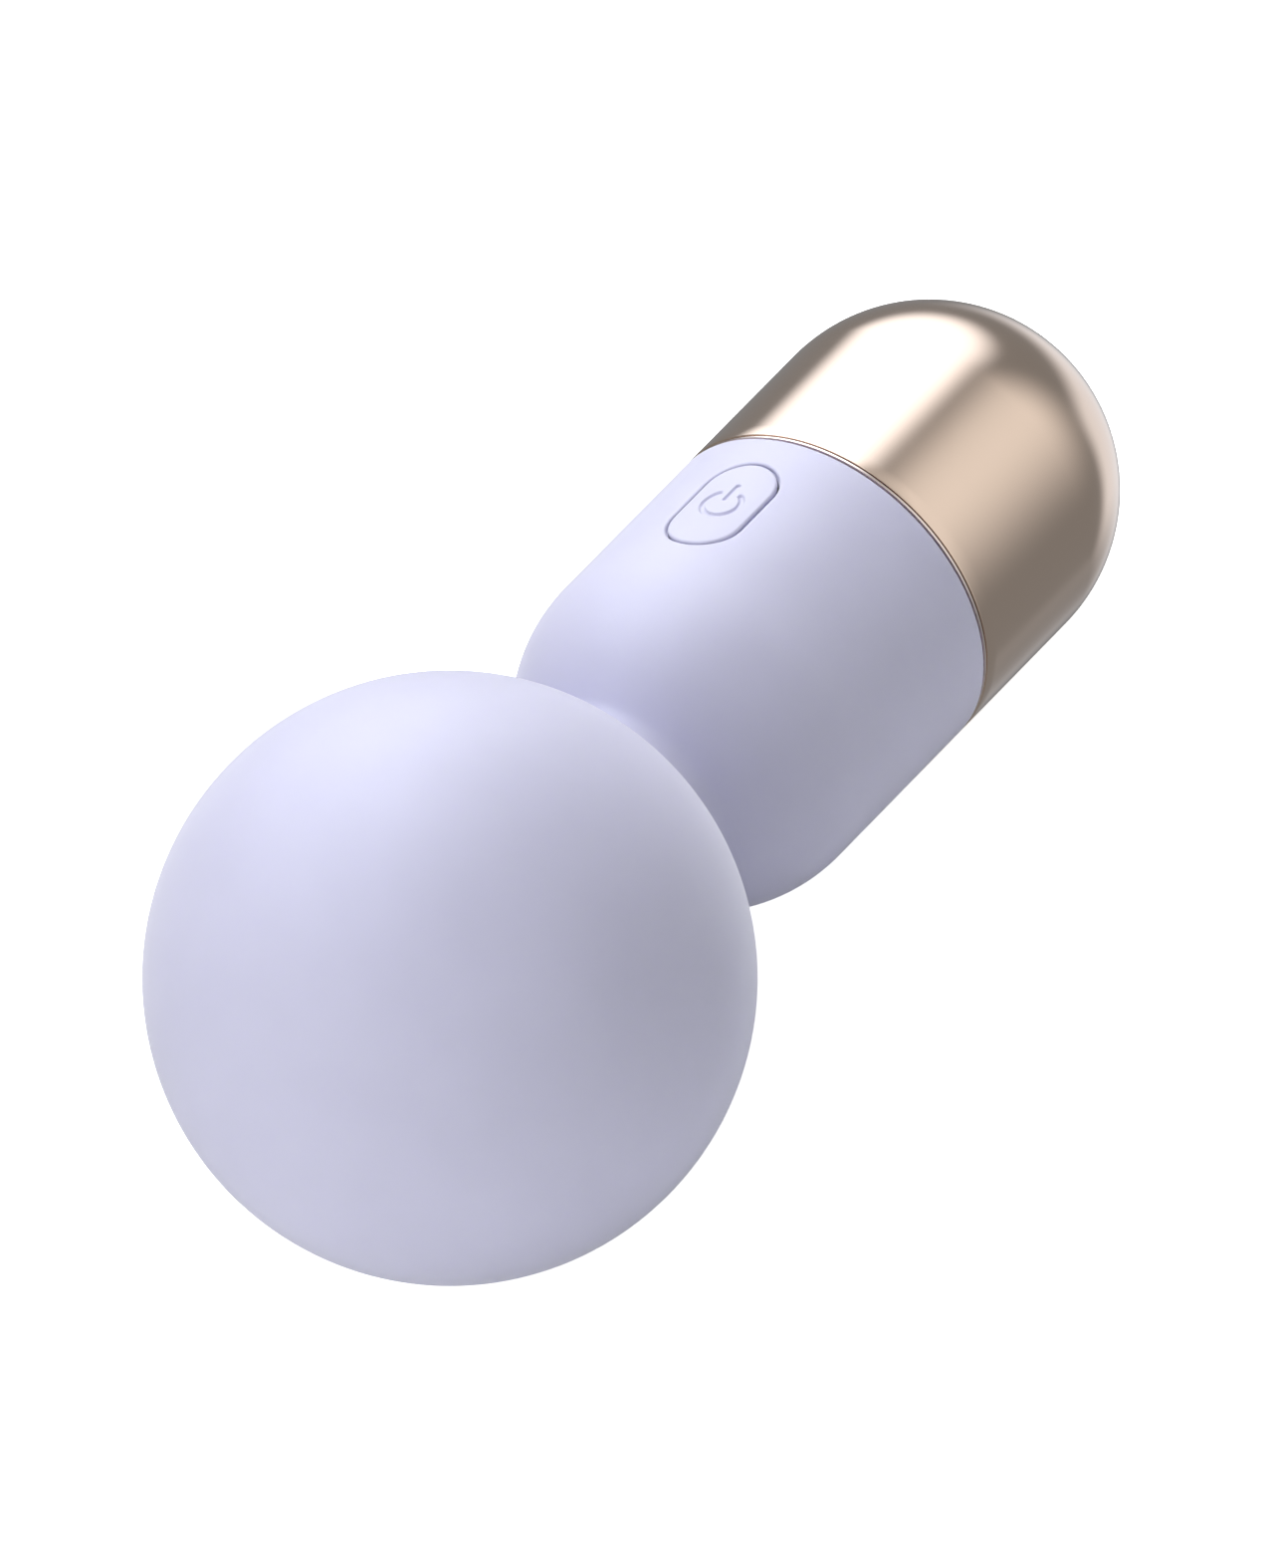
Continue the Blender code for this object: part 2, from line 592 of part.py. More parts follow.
def motor():
    """A small brushed motor in a rubber boot, its eccentric weight towards the ball's tip."""
    low, high = CAN_Z
    bore = BUSH_R + GAP
    inside = CAN_R - CAN_WALL
    can = [(bore, high), (CAN_R, high), (CAN_R, low), (inside, low)]
    can += [(inside, high - CAN_WALL), (bore, high - CAN_WALL)]
    turned("motor_can", can, steel, MID_SIDES)
    ring("motor_end_bell", bore, CAN_R - 0.1, low - GAP - BELL_H, low - GAP, grey_abs)
    ring("motor_front_bush", SHAFT_R + 0.1, BUSH_R, high - 1.6, high + 1.0, brass, SMALL_SIDES)
    ring("motor_rear_bush", SHAFT_R + 0.1, BUSH_R, low - 2.9, low - 0.1, brass, SMALL_SIDES)
    ring("motor_magnet_ring", *MAGNET_R, *MAGNET_Z, magnet)
    ring("motor_boot", CAN_R + GAP, BOOT_R, *BOOT_Z, black_rubber)
    for name, side in (("upper", 1), ("lower", -1)):
        ends = sorted(reach * side for reach in BRUSH_REACH)
        block(f"motor_brush_{name}", (ends[0], -0.6, BRUSH_Z[0]), (ends[1], 0.6, BRUSH_Z[1]), copper)
    disc("motor_shaft", SHAFT_R, *SHAFT_Z, steel, SMALL_SIDES)
    core = ring("motor_armature", SHAFT_R + GAP, ARMATURE_R, *ARMATURE_Z, copper)
    start, end = ARMATURE_Z
    for i in range(ARMATURE_POLES):
        half = POLE_SLOT / 2
        slot = block(f"armature_slot_{i}", (3.4, -half, start - 1), (ARMATURE_R + 2, half, end + 1), copper)
        slot.rotation_euler.z = math.pi / ARMATURE_POLES + 2 * math.pi * i / ARMATURE_POLES
        boolean(core, as_cutter(slot))
    ring("motor_commutator", SHAFT_R + GAP, COMMUTATOR_R, *COMMUTATOR_Z, copper, SMALL_SIDES)
    weight = ring("eccentric_weight", SHAFT_R + GAP, WEIGHT_R, *WEIGHT_Z, tungsten)
    start, end = WEIGHT_Z
    reach = WEIGHT_R + 3
    away = block("weight_flat", (WEIGHT_FLAT, -reach, start - 1), (reach, reach, end + 1), tungsten)
    boolean(weight, as_cutter(away))


def button():
    """The push button: silicone pad, its key under the skin, and the switch's plunger."""
    face = slot_prism("button_outline", 14, 20, BUTTON_Z, BUTTON_LONG - GAP, BUTTON_WIDE - GAP, lavender)
    start, end = BUTTON_Z - BUTTON_LONG, BUTTON_Z + BUTTON_LONG
    pad = ring("button_pad", HANDLE_R - PAD_THICK, HANDLE_R, start, end, lavender, SIDES)
    boolean(pad, as_cutter(face), "INTERSECT")
    wide, long = STEM_HALF
    low, high = STEM_X
    stem = block("actuator_stem", (low, -wide, BUTTON_Z - long), (high, wide, BUTTON_Z + long), white_abs)
    wide, long = wide + 0.8, long + 1.0
    low, high = KEY_X
    key = block("button_actuator", (low, -wide, BUTTON_Z - long), (high, wide, BUTTON_Z + long), white_abs)
    boolean(key, as_cutter(stem), "UNION")
    low, high = PLUNGER_X
    rod("switch_plunger", (low, 0, BUTTON_Z), (1, 0, 0), PLUNGER_R, high - low, grey_abs)


tail_cap()
skin()
seam_rings()
frame_half("chassis_left", -1)
frame_half("chassis_right", 1)
frame_screws()
cell_bay()
board()
jack()
leads()
head()
motor()
button()
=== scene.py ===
import json
import math

import bmesh
import bpy
from mathutils import Matrix, Vector


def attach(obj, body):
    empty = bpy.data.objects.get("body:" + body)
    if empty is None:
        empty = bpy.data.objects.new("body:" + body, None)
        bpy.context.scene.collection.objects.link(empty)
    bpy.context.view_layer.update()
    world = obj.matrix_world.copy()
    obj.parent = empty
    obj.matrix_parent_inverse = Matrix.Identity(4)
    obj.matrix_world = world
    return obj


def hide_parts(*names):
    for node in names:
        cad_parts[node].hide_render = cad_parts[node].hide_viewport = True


# A pocket wand massager lying on a table: lavender silicone over a ball and a capsule handle,
# one long push button, and a champagne anodised tail.

mm = 0.001

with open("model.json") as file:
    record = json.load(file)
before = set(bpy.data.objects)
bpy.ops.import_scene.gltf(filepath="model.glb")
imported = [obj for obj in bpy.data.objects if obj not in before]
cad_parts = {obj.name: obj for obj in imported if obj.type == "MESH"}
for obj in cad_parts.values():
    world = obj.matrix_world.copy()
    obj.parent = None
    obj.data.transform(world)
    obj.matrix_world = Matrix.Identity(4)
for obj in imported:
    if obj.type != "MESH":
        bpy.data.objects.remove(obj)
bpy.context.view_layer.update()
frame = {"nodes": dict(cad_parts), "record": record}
print("frame loaded,", len(frame["nodes"]), "nodes")

# the turning axis comes from the rotor's hinge, the button's direction from its slide
joints = {joint["name"]: joint for joint in frame["record"]["behaviour"]["joints"]}
ballCentre = Vector(joints["rotor_spin"]["pos_m"])
towardsBall = Vector(joints["rotor_spin"]["axis"]).normalized()
buttonOut = -Vector(joints["button_press"]["axis"]).normalized()

# every length along the wand is in millimetres from the tip of the metal tail
wand = {
    "handleRadius": 17.0,
    "ballRadius": 27.15,
    "ballAt": 95.26,
    "frontAt": 54.26,  # centre of the handle's round front
    "neckFillet": 2.2,
    "seamAt": 34.15,
    "sides": 192,
}

# matrix from the wand's own millimetres to the row frame
wandPlace = Matrix.Identity(4)
for column, direction in enumerate((buttonOut, towardsBall.cross(buttonOut), towardsBall)):
    wandPlace.col[column][:3] = direction * mm
wandPlace.translation = ballCentre - towardsBall * wand["ballAt"] * mm


def linearColour(hexCode):
    # sRGB hex to the linear values that the shaders use
    parts = [int(hexCode[i : i + 2], 16) / 255 for i in (1, 3, 5)]
    return (*[c / 12.92 if c <= 0.04045 else ((c + 0.055) / 1.055) ** 2.4 for c in parts], 1.0)


def addNode(tree, kind, settings=None, inputs=None):
    # one node with its settings, and its inputs set or linked
    node = tree.nodes.new(kind)
    for key, value in (settings or {}).items():
        setattr(node, key, value)
    for key, value in (inputs or {}).items():
        if isinstance(value, bpy.types.NodeSocket):
            tree.links.new(value, node.inputs[key])
        else:
            node.inputs[key].default_value = value
    return node


def calculate(tree, operation, *values):
    return addNode(tree, "ShaderNodeMath", {"operation": operation}, dict(enumerate(values))).outputs[0]


def newMaterial(name, shaderInputs):
    # a material with only a Principled shader and its output
    mat = bpy.data.materials.new(name)
    mat.use_nodes = True
    tree = mat.node_tree
    tree.nodes.clear()
    shader = addNode(tree, "ShaderNodeBsdfPrincipled", inputs=shaderInputs)
    addNode(tree, "ShaderNodeOutputMaterial", inputs={"Surface": shader.outputs["BSDF"]})
    return mat, tree, shader


def sizedNoise(tree, sizeMm, detail, roughness):
    # noise of a real size, fixed to the piece
    coords = addNode(tree, "ShaderNodeTexCoord")
    inputs = {
        "Vector": coords.outputs["Object"],
        "Scale": 1 / (sizeMm * mm),
        "Detail": detail,
        "Roughness": roughness,
    }
    return addNode(tree, "ShaderNodeTexNoise", inputs=inputs).outputs["Fac"]


def grain(tree, shader, sizeMm, depthMm, strength):
    # fine surface grain, used as bump
    noise = sizedNoise(tree, sizeMm, 3.0, 0.55)
    bump = addNode(
        tree,
        "ShaderNodeBump",
        inputs={"Height": noise, "Distance": depthMm * mm, "Strength": strength},
    )
    tree.links.new(bump.outputs["Normal"], shader.inputs["Normal"])


def toneVariation(tree, shader, darker, lighter, sizeMm):
    # a faint mottling between two tones of the same colour
    ramp = addNode(tree, "ShaderNodeValToRGB", inputs={"Fac": sizedNoise(tree, sizeMm, 2.0, 0.5)})
    ramp.color_ramp.elements[0].position = 0.3
    ramp.color_ramp.elements[0].color = linearColour(darker)
    ramp.color_ramp.elements[1].position = 0.7
    ramp.color_ramp.elements[1].color = linearColour(lighter)
    tree.links.new(ramp.outputs["Color"], shader.inputs["Base Color"])


skinFinish = {
    "darker": "#C7C7DE",
    "lighter": "#CACAE1",
    "mottleMm": 9.0,
    "roughness": 0.48,
    "ior": 1.41,
    "specular": 0.85,
    "sheen": 0.3,
    "sheenRoughness": 0.35,
    "subsurface": 0.3,
    "subsurfaceTint": (1.0, 0.9, 1.2),
    "subsurfaceMm": 1.0,
    "grainMm": 0.25,
    "grainDepthMm": 0.01,
    "grainStrength": 0.25,
}


def siliconeSkin(name):
    # liquid silicone rubber from a fine-blasted mould, coated soft-touch: a satin, faintly
    # velvety surface that lifts at the edges
    mat, tree, shader = newMaterial(
        name,
        {
            "Roughness": skinFinish["roughness"],
            "IOR": skinFinish["ior"],
            "Sheen Weight": skinFinish["sheen"],
            "Sheen Roughness": skinFinish["sheenRoughness"],
            "Specular IOR Level": skinFinish["specular"],
            "Subsurface Weight": skinFinish["subsurface"],
            "Subsurface Radius": skinFinish["subsurfaceTint"],
            "Subsurface Scale": skinFinish["subsurfaceMm"] * mm,
        },
    )
    toneVariation(tree, shader, skinFinish["darker"], skinFinish["lighter"], skinFinish["mottleMm"])
    grain(tree, shader, skinFinish["grainMm"], skinFinish["grainDepthMm"], skinFinish["grainStrength"])
    return mat


capFinish = {"colour": "#E9D1BD", "roughness": 0.14, "haze": 0.015, "hazeMm": 6}


def anodisedChampagne():
    # polished aluminium anodised champagne: a clear metallic mirror, blurred a little by the oxide
    mat, tree, shader = newMaterial(
        "anodisedChampagneAluminium",
        {"Base Color": linearColour(capFinish["colour"]), "Metallic": 1.0},
    )
    haze = addNode(
        tree,
        "ShaderNodeMapRange",
        inputs={
            "Value": sizedNoise(tree, capFinish["hazeMm"], 4.0, 0.6),
            "From Min": 0.3,
            "From Max": 0.7,
            "To Min": capFinish["roughness"] - capFinish["haze"],
            "To Max": capFinish["roughness"] + capFinish["haze"],
        },
    )
    tree.links.new(haze.outputs["Result"], shader.inputs["Roughness"])
    return mat


def brightEdge():
    # diamond-turned aluminium: fine turning marks round the axis, very bright
    mat, tree, shader = newMaterial(
        "diamondTurnedAluminium",
        {"Base Color": linearColour("#F0E0D6"), "Metallic": 1.0, "Roughness": 0.12},
    )
    grain(tree, shader, 0.15, 0.004, 0.2)
    return mat


# finishes of the pieces inside: name, darker and lighter tone, metallic, roughness, grain in mm
insideFinishes = {
    "black_rubber": ("mouldedNitrileRubber", "#1B1B1C", "#222223", 0.0, 0.75, 0.3),
    "white_abs": ("mouldedWhiteAbs", "#DEDEDB", "#E6E6E3", 0.0, 0.45, 0.4),
    "grey_abs": ("mouldedGreyAbs", "#8C8C90", "#949498", 0.0, 0.45, 0.4),
    "black_nylon": ("glassFilledNylon", "#2A2A2C", "#333335", 0.0, 0.55, 0.25),
    "steel": ("zincPlatedSteel", "#B9BCC0", "#C6C9CC", 1.0, 0.3, 0.3),
    "brass": ("sinteredBrass", "#C9A45A", "#D6B26A", 1.0, 0.35, 0.2),
    "copper": ("enamelledCopper", "#C77B4E", "#D68A5A", 1.0, 0.3, 0.3),
    "ferrite": ("bondedFerrite", "#333437", "#3D3E41", 0.0, 0.6, 0.3),
    "weight_metal": ("sinteredHeavyAlloy", "#8D8F94", "#9A9CA0", 1.0, 0.4, 0.25),
    "foam": ("closedCellFoam", "#4A4A4D", "#57575A", 0.0, 0.95, 0.8),
    "cell_wrap": ("pvcShrinkWrap", "#2C5C9E", "#3163A6", 0.0, 0.3, 2.0),
    "board_green": ("solderMask", "#1F6B3E", "#247546", 0.0, 0.35, 1.0),
    "chip_black": ("mouldedEpoxy", "#202022", "#29292B", 0.0, 0.5, 0.15),
    "led_lens": ("clearEpoxyLens", "#EDEDE6", "#F4F4EE", 0.0, 0.15, 0.5),
    "red_lead": ("redPvcInsulation", "#B71C1C", "#C32525", 0.0, 0.4, 0.5),
    "black_lead": ("blackPvcInsulation", "#1E1E20", "#272729", 0.0, 0.4, 0.5),
}


def insideMaterial(slotName):
    name, darker, lighter, metallic, roughness, grainMm = insideFinishes[slotName]
    mat, tree, shader = newMaterial(name, {"Metallic": metallic, "Roughness": roughness})
    toneVariation(tree, shader, darker, lighter, grainMm * 8)
    grain(tree, shader, grainMm, grainMm * 0.05, 0.3)
    return mat


skinMaterial = siliconeSkin("softTouchSilicone")
buttonMaterial = siliconeSkin("softTouchSiliconeButton")
capMaterial = anodisedChampagne()
edgeMaterial = brightEdge()


# turned shells: each point of a profile is carried round the axis
mergeWithin = 0.0005  # in the wand's millimetres


def turningTree():
    tree = bpy.data.node_groups.new("turnedShell", "GeometryNodeTree")
    tree.interface.new_socket("Profile", in_out="INPUT", socket_type="NodeSocketGeometry")
    tree.interface.new_socket("Sides", in_out="INPUT", socket_type="NodeSocketInt")
    tree.interface.new_socket("Finish", in_out="INPUT", socket_type="NodeSocketMaterial")
    tree.interface.new_socket("Shell", in_out="OUTPUT", socket_type="NodeSocketGeometry")
    source = addNode(tree, "NodeGroupInput")
    size = addNode(
        tree,
        "GeometryNodeAttributeDomainSize",
        {"component": "MESH"},
        {"Geometry": source.outputs["Profile"]},
    )
    # one more column than sides: the last lies on the first and is merged with it
    columns = calculate(tree, "ADD", source.outputs["Sides"], 1.0)
    grid = addNode(
        tree,
        "GeometryNodeMeshGrid",
        inputs={"Vertices X": size.outputs["Point Count"], "Vertices Y": columns},
    )
    index = addNode(tree, "GeometryNodeInputIndex").outputs[0]
    # half a step keeps the division clear of whole numbers
    ratio = calculate(tree, "DIVIDE", index, columns)
    safe = calculate(tree, "ADD", ratio, calculate(tree, "DIVIDE", 0.5, columns))
    row = calculate(tree, "FLOOR", safe)
    column = calculate(tree, "SUBTRACT", index, calculate(tree, "MULTIPLY", row, columns))
    share = calculate(tree, "DIVIDE", column, source.outputs["Sides"])
    angle = calculate(tree, "MULTIPLY", share, 2 * math.pi)
    place = addNode(tree, "GeometryNodeInputPosition")
    onProfile = addNode(
        tree,
        "GeometryNodeSampleIndex",
        {"data_type": "FLOAT_VECTOR", "domain": "POINT"},
        {"Geometry": source.outputs["Profile"], "Value": place.outputs[0], "Index": row},
    )
    apart = addNode(tree, "ShaderNodeSeparateXYZ", inputs={0: onProfile.outputs["Value"]})
    x = calculate(tree, "MULTIPLY", apart.outputs["X"], calculate(tree, "COSINE", angle))
    y = calculate(tree, "MULTIPLY", apart.outputs["X"], calculate(tree, "SINE", angle))
    turned = addNode(tree, "ShaderNodeCombineXYZ", inputs={"X": x, "Y": y, "Z": apart.outputs["Z"]})
    placed = addNode(
        tree,
        "GeometryNodeSetPosition",
        inputs={"Geometry": grid.outputs["Mesh"], "Position": turned.outputs[0]},
    )
    merged = addNode(
        tree,
        "GeometryNodeMergeByDistance",
        inputs={"Geometry": placed.outputs[0], "Distance": mergeWithin},
    )
    smooth = addNode(tree, "GeometryNodeSetShadeSmooth", inputs={"Geometry": merged.outputs[0]})
    real = addNode(tree, "GeometryNodeRealizeInstances", inputs={"Geometry": smooth.outputs[0]})
    finished = addNode(
        tree,
        "GeometryNodeSetMaterial",
        inputs={"Geometry": real.outputs[0], "Material": source.outputs["Finish"]},
    )
    addNode(tree, "NodeGroupOutput", inputs={"Shell": finished.outputs[0]})
    return tree


turnedShellTree = turningTree()


def socketId(tree, name):
    sockets = (item for item in tree.interface.items_tree if item.in_out == "INPUT")
    return next(socket.identifier for socket in sockets if socket.name == name)


def turnedMesh(name, profile, finish, sides=wand["sides"]):
    # a closed or axis-to-axis profile of (radius, along) points, in the wand's millimetres
    outline = bpy.data.meshes.new(name + "Outline")
    edges = [(i, i + 1) for i in range(len(profile) - 1)]
    outline.from_pydata([(r, 0.0, z) for r, z in profile], edges, [])
    maker = bpy.data.objects.new(name + "Maker", outline)
    bpy.context.scene.collection.objects.link(maker)
    modifier = maker.modifiers.new("turn", "NODES")
    modifier.node_group = turnedShellTree
    modifier[socketId(turnedShellTree, "Sides")] = sides
    modifier[socketId(turnedShellTree, "Finish")] = finish
    depsgraph = bpy.context.evaluated_depsgraph_get()
    mesh = bpy.data.meshes.new_from_object(maker.evaluated_get(depsgraph))
    maker.modifiers.clear()
    bpy.data.objects.remove(maker)
    bpy.data.meshes.remove(outline)
    mesh.name = name
    return mesh


def arcPoints(along, radius, start, end, count, out=0.0):
    # points on a circle, by the angle in degrees from the ball's end of the axis
    angles = [math.radians(start + (end - start) * i / count) for i in range(count + 1)]
    return [(max(out + radius * math.sin(a), 0.0), along + radius * math.cos(a)) for a in angles]


def finishPiece(name, bm, finish, body, node, sharpDegrees=40):
    # from the wand's millimetres to the row frame, outward faces, smooth shading, then the frame's calls
    bmesh.ops.recalc_face_normals(bm, faces=bm.faces)
    bm.transform(wandPlace)
    if bm.calc_volume(signed=True) < 0:
        bmesh.ops.reverse_faces(bm, faces=bm.faces)
    openEdges = sum(1 for edge in bm.edges if len(edge.link_faces) != 2)
    mesh = bpy.data.meshes.new(name)
    bm.to_mesh(mesh)
    bm.free()
    mesh.materials.clear()
    mesh.materials.append(finish)
    mesh.polygons.foreach_set("material_index", [0] * len(mesh.polygons))
    mesh.shade_smooth()
    mesh.set_sharp_from_angle(angle=math.radians(sharpDegrees))
    piece = bpy.data.objects.new(name, mesh)
    bpy.context.scene.collection.objects.link(piece)
    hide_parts(node)
    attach(piece, body)
    print(name, len(mesh.polygons), "faces,", openEdges, "open edges")
    return piece


def meshAsBm(mesh):
    bm = bmesh.new()
    bm.from_mesh(mesh)
    bpy.data.meshes.remove(mesh)
    return bm


# camera: a long lens from above the ball's side, rolled so that the wand runs up to the right
view = {
    "azimuth": -44.65,
    "elevation": 37.7,
    "roll": 20.86,
    "distance": 4.5,
    "frameHeight": 0.1382,  # metres seen from top to bottom at the ball
    "right": 0.01628,  # from the ball's centre to the middle of the frame
    "up": 0.01711,
}


def addCamera():
    azimuth, elevation, roll = (math.radians(view[key]) for key in ("azimuth", "elevation", "roll"))
    across = math.cos(elevation)
    back = Vector((math.sin(azimuth) * across, -math.cos(azimuth) * across, math.sin(elevation)))
    level = Vector((math.cos(azimuth), math.sin(azimuth), 0.0))
    upright = back.cross(level)
    right = level * math.cos(roll) - upright * math.sin(roll)
    up = back.cross(right)
    data = bpy.data.cameras.new("camera")
    data.sensor_fit = "VERTICAL"
    data.sensor_height = 36.0
    data.lens = data.sensor_height * view["distance"] / view["frameHeight"]
    data.clip_end = 50.0
    camera = bpy.data.objects.new("camera", data)
    bpy.context.scene.collection.objects.link(camera)
    turn = Matrix((right, up, back)).transposed().to_4x4()
    aim = ballCentre + right * view["right"] + up * view["up"]
    camera.matrix_world = Matrix.Translation(aim + back * view["distance"]) @ turn
    bpy.context.scene.camera = camera


addCamera()

# the silicone sleeve
sleeve = {
    "handleWall": 1.5,
    "ballWall": 2.0,
    "neckBore": 8.7,
    "seamGap": 0.1,
    "ringWidth": 0.4,
    "lipRound": 0.22,
    "rowStep": 0.4,  # rows along the straight part of the handle
    "rowsFrom": 35.9,
    "rowsTo": 53.1,
}

button = {
    "along": 44.5,
    "long": 12.72,
    "wide": 7.62,
    "lip": 0.24,
    "grooveDepth": 0.5,
    "grooveLedge": 0.06,
    "ledgeDrop": 0.02,
    "halfAlong": 8.6,
    "halfColumns": 16,
}

port = {
    "along": 42.5,
    "turn": math.radians(-140.5),
    "radius": 1.3,
    "lip": 0.15,
    "halfAlong": 2.2,
    "halfColumns": 6,
}


def neckFillet():
    # centre of the concave arc that joins handle and ball, and where it meets each of them
    a, b = wand["handleRadius"] + wand["neckFillet"], wand["ballRadius"] + wand["neckFillet"]
    span = wand["ballAt"] - wand["frontAt"]
    along = (span**2 + a**2 - b**2) / (2 * span)
    out = math.sqrt(a**2 - along**2)
    toFront, toBall = (math.degrees(math.atan2(out, reach)) for reach in (along, span - along))
    return out, wand["frontAt"] + along, toFront, toBall


def straightRows():
    count = round((sleeve["rowsTo"] - sleeve["rowsFrom"]) / sleeve["rowStep"])
    return [sleeve["rowsFrom"] + sleeve["rowStep"] * i for i in range(count + 1)]


def sleeveProfile():
    out, middle, toFront, toBall = neckFillet()
    outer, inner = wand["handleRadius"], wand["handleRadius"] - sleeve["handleWall"]
    ballInner = wand["ballRadius"] - sleeve["ballWall"]
    edge = wand["seamAt"] + sleeve["ringWidth"] / 2 + sleeve["seamGap"]
    lip = sleeve["lipRound"]
    rows = straightRows()
    profile = arcPoints(wand["ballAt"], wand["ballRadius"], 0, 180 - toBall, 96)
    profile += arcPoints(middle, wand["neckFillet"], -toBall, toFront - 180, 14, out)[1:-1]
    profile += arcPoints(wand["frontAt"], outer, toFront, 90, 30)
    profile += [(outer, z) for z in reversed(rows)]
    profile += arcPoints(edge + lip, lip, 90, 180, 5, outer - lip)
    profile += [(inner, edge)]
    profile += [(inner, z) for z in rows]
    toBore, fromBore = (math.degrees(math.asin(sleeve["neckBore"] / wall)) for wall in (inner, ballInner))
    profile += arcPoints(wand["frontAt"], inner, 90, toBore, 8)
    return profile + arcPoints(wand["ballAt"], ballInner, 180 - fromBore, 0, 20)


def slotPoint(angle, run, radius):
    # where a ray from the middle of a stadium outline meets it: (along, round)
    c, s = math.cos(angle), math.sin(angle)
    if abs(s) > 1e-9 and abs(c / s) * radius <= run:
        reach = radius / abs(s)
    else:
        middle = run * (1 if c > 0 else -1)
        dot = c * middle
        reach = dot + math.sqrt(max(dot * dot - run * run + radius * radius, 0.0))
    return reach * c, reach * s


def openHole(bm, hole, turn, run, rings):
    # replaces a rectangle of the outer and inner walls by rings that close in on a hole.
    # Each ring is (radius of the outline, depth under the surface).
    outer, inner = wand["handleRadius"], wand["handleRadius"] - sleeve["handleWall"]
    along, halfAlong = hole["along"], hole["halfAlong"]
    step = 2 * math.pi / wand["sides"]
    centreColumn = round(turn / step) * step
    halfTurn = hole["halfColumns"] * step
    slack = step * 0.25

    def local(vert):
        angle = math.atan2(vert.co.y, vert.co.x)
        off = (angle - centreColumn + math.pi) % (2 * math.pi) - math.pi
        return vert.co.z - along, off

    loops = []
    for wall in (outer, inner):
        inside, border = [], []
        for vert in bm.verts:
            p, off = local(vert)
            if abs(math.hypot(vert.co.x, vert.co.y) - wall) > 0.02:
                continue
            if abs(p) > halfAlong + 0.02 or abs(off) > halfTurn + slack:
                continue
            onBorder = abs(p) > halfAlong - 0.02 or abs(off) > halfTurn - slack
            (border if onBorder else inside).append(vert)
        bmesh.ops.delete(bm, geom=inside, context="VERTS")
        shift = centreColumn - turn
        border.sort(key=lambda v: math.atan2((local(v)[1] + shift) * outer, local(v)[0]))
        loops.append(border)
    edgeLoop, innerLoop = loops
    count = len(edgeLoop)
    angles = [math.atan2((local(v)[1] + centreColumn - turn) * outer, local(v)[0]) for v in edgeLoop]

    def ringVerts(radius, depth, blend=0.0, wall=outer):
        made = []
        for i, angle in enumerate(angles):
            p, q = slotPoint(angle, run, radius)
            if blend:
                ep, eo = local(edgeLoop[i])
                eq = (eo + centreColumn - turn) * outer
                p, q = p + (ep - p) * blend, q + (eq - q) * blend
            a = turn + q / outer
            r = wall - depth
            made.append(bm.verts.new((r * math.cos(a), r * math.sin(a), along + p)))
        return made

    first, last = rings[0], rings[-1]
    chain = [edgeLoop]
    chain += [ringVerts(first[0], 0.0, blend) for blend in (0.8, 0.62, 0.46, 0.32, 0.2, 0.1, 0.04)]
    chain += [ringVerts(radius, depth) for radius, depth in rings]
    chain += [ringVerts(last[0], 0.0, blend, inner) for blend in (0.0, 0.3, 0.65)]
    chain.append(innerLoop)
    for a, b in zip(chain, chain[1:]):
        for i in range(count):
            j = (i + 1) % count
            bm.faces.new((a[i], a[j], b[j], b[i]))


def quarterRound(radius, lip, count=4):
    # the rounded edge of a hole: outline radius and depth
    steps = [math.pi / 2 * i / count for i in range(count + 1)]
    return [(radius + lip * (1 - math.sin(t)), lip * (1 - math.cos(t))) for t in steps]


def makeSleeve():
    bm = meshAsBm(turnedMesh("siliconeSleeve", sleeveProfile(), skinMaterial))
    half = button["wide"] / 2
    rings = quarterRound(half, button["lip"])
    floor = button["grooveDepth"]
    rings += [(half, floor), (half - button["grooveLedge"], floor + button["ledgeDrop"])]
    openHole(bm, button, 0.0, button["long"] / 2 - half, rings)
    openHole(bm, port, port["turn"], 0.0, quarterRound(port["radius"], port["lip"]))
    return finishPiece("siliconeSleeve", bm, skinMaterial, "root", "silicone_sleeve")


makeSleeve()

# the push button, with an open ring and a bar sunk into its face
pad = {
    "long": 12.3,
    "wide": 7.2,
    "depth": 1.25,
    "draft": 0.1,
    "lip": 0.28,
    "straightSteps": 52,
    "endSteps": 112,
    "rings": 44,
    "markRing": 1.8,
    "markStroke": 0.5,
    "markOpening": math.radians(38),
    "markBar": (0.7, 2.7),
    "markDepth": 0.22,
    "markEdge": 0.12,
}


def markDepth(p, q):
    # depth of the power mark at a point of the pad's face, p towards the ball and q round the handle
    half = pad["markStroke"] / 2
    reach = math.hypot(p, q)
    turnFromTail = abs(math.atan2(q, -p))
    if turnFromTail >= pad["markOpening"]:
        toRing = abs(reach - pad["markRing"])
    else:
        end = pad["markOpening"]
        back, aside = math.cos(end) * pad["markRing"], math.sin(end) * pad["markRing"]
        ends = [(-back, aside * side) for side in (1, -1)]
        toRing = min(math.hypot(p - x, q - y) for x, y in ends)
    low, high = pad["markBar"]
    toBar = math.hypot(p + min(max(-p, low), high), q)
    share = (half + pad["markEdge"] / 2 - min(toRing, toBar)) / pad["markEdge"]
    share = min(max(share, 0.0), 1.0)
    return pad["markDepth"] * share * share * (3 - 2 * share)


